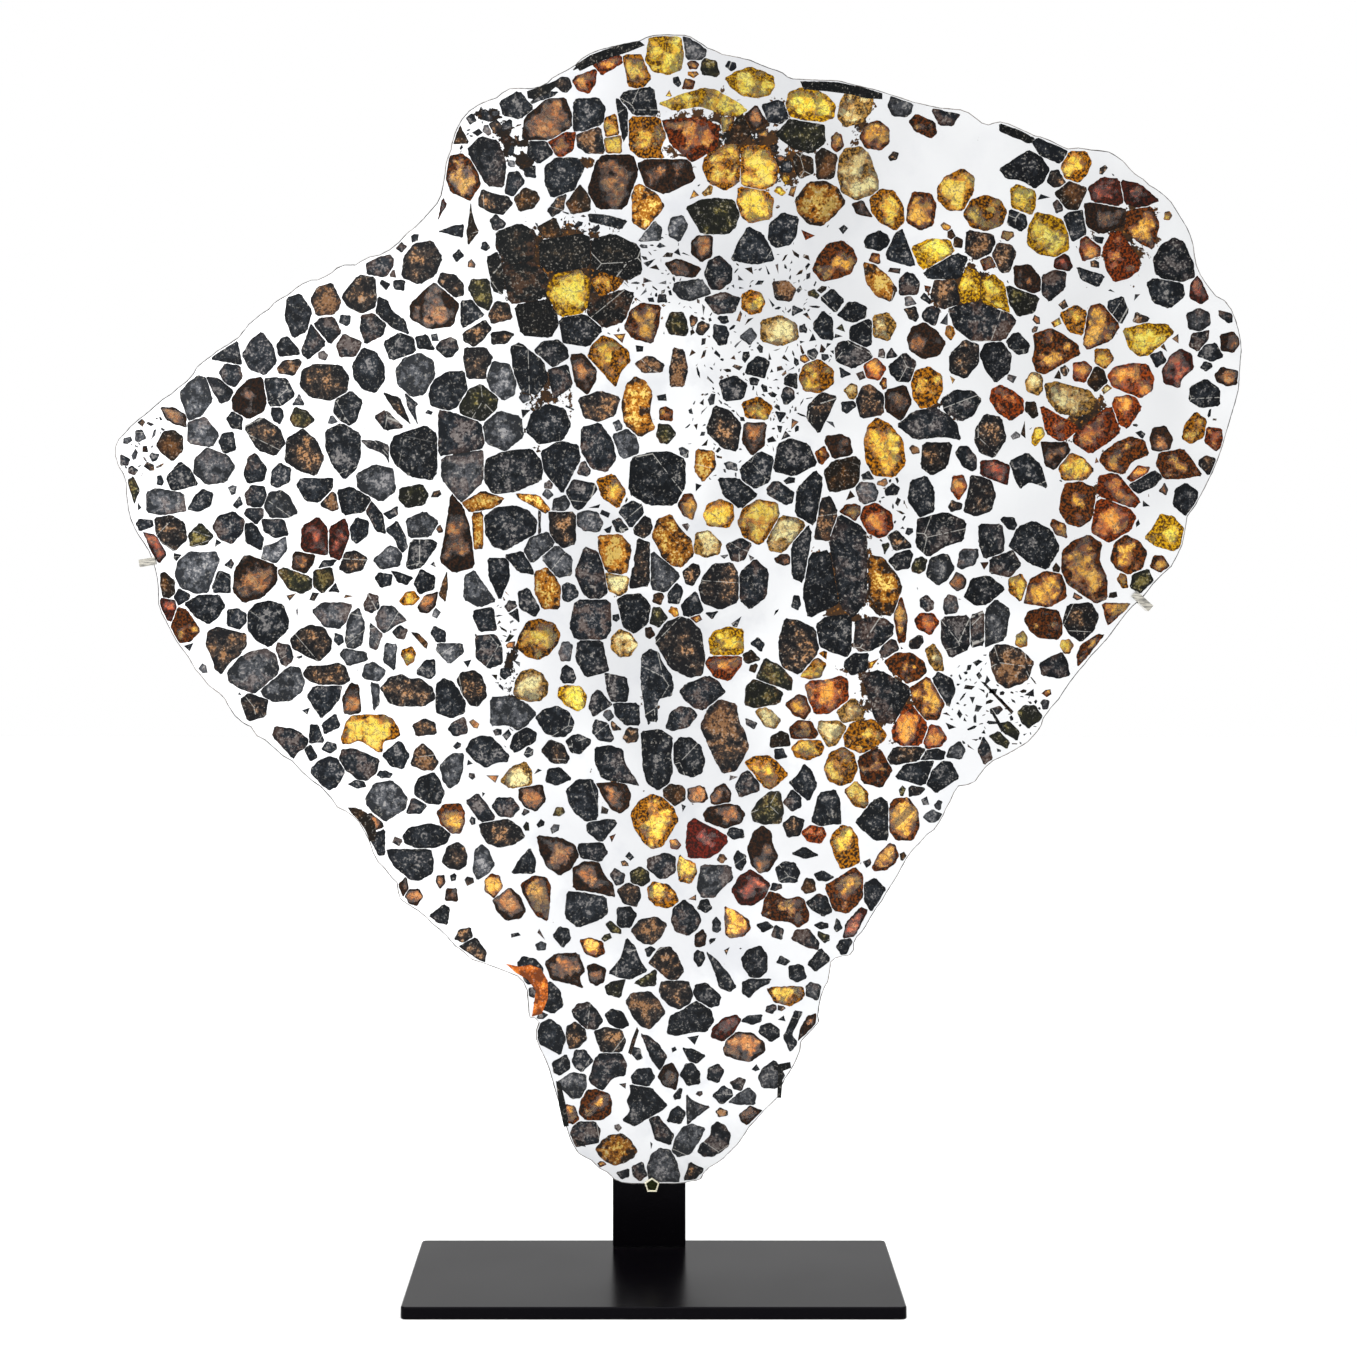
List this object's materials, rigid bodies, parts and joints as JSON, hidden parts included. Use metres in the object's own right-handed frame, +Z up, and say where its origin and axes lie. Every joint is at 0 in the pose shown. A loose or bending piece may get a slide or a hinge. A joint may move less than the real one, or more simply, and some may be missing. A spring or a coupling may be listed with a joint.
{
  "type": "pallasite meteorite slice on stand",
  "caption": "Thin polished pallasite slice of iron-nickel set with olivine crystals, held upright by small claws on a black flat bar stand.",
  "frame": {"origin": "centre of the base plate's underside", "axes": "+Z up, +Y away from the viewer through the slice's thickness, +X to the viewer's right across the slice"},
  "size_m": [0.4313, 0.1, 0.4703],
  "materials": {
    "iron_nickel": "polished",
    "olivine_gold": "polished, clear yellow",
    "olivine_amber": "polished, clear brown",
    "olivine_dark": "polished",
    "stand_black": "satin black",
    "claw_metal": "bare nickel"
  },
  "bodies": {
    "root": {"metal_matrix": "iron_nickel", "olivine_01": "olivine_gold", "olivine_02": "olivine_gold", "olivine_03": "olivine_gold", "olivine_04": "olivine_gold", "olivine_05": "olivine_gold", "olivine_06": "olivine_gold", "olivine_07": "olivine_gold", "olivine_08": "olivine_gold", "olivine_09": "olivine_gold", "olivine_10": "olivine_gold", "olivine_11": "olivine_gold", "olivine_12": "olivine_gold", "olivine_13": "olivine_gold", "olivine_14": "olivine_gold", "olivine_15": "olivine_gold", "olivine_16": "olivine_gold", "olivine_17": "olivine_amber", "olivine_18": "olivine_amber", "olivine_19": "olivine_amber", "olivine_20": "olivine_amber", "olivine_21": "olivine_amber", "olivine_22": "olivine_amber", "olivine_23": "olivine_amber", "olivine_24": "olivine_amber", "olivine_25": "olivine_amber", "olivine_26": "olivine_amber", "olivine_27": "olivine_amber", "olivine_28": "olivine_amber", "olivine_29": "olivine_amber", "olivine_30": "olivine_amber", "olivine_31": "olivine_amber", "olivine_32": "olivine_amber", "olivine_33": "olivine_dark", "olivine_34": "olivine_dark", "olivine_35": "olivine_dark", "olivine_36": "olivine_dark", "olivine_37": "olivine_dark", "olivine_38": "olivine_dark", "olivine_39": "olivine_dark", "olivine_40": "olivine_dark", "olivine_41": "olivine_dark", "olivine_42": "olivine_dark", "olivine_43": "olivine_dark", "olivine_44": "olivine_dark", "olivine_45": "olivine_dark", "olivine_46": "olivine_dark", "olivine_47": "olivine_dark", "olivine_48": "olivine_dark", "olivine_49": "olivine_dark", "olivine_50": "olivine_dark", "base_plate": "stand_black", "post": "stand_black", "left_arm": "stand_black", "right_arm": "stand_black", "left_claw": "claw_metal", "right_claw": "claw_metal", "bottom_claw": "claw_metal"}
  },
  "joints": []
}
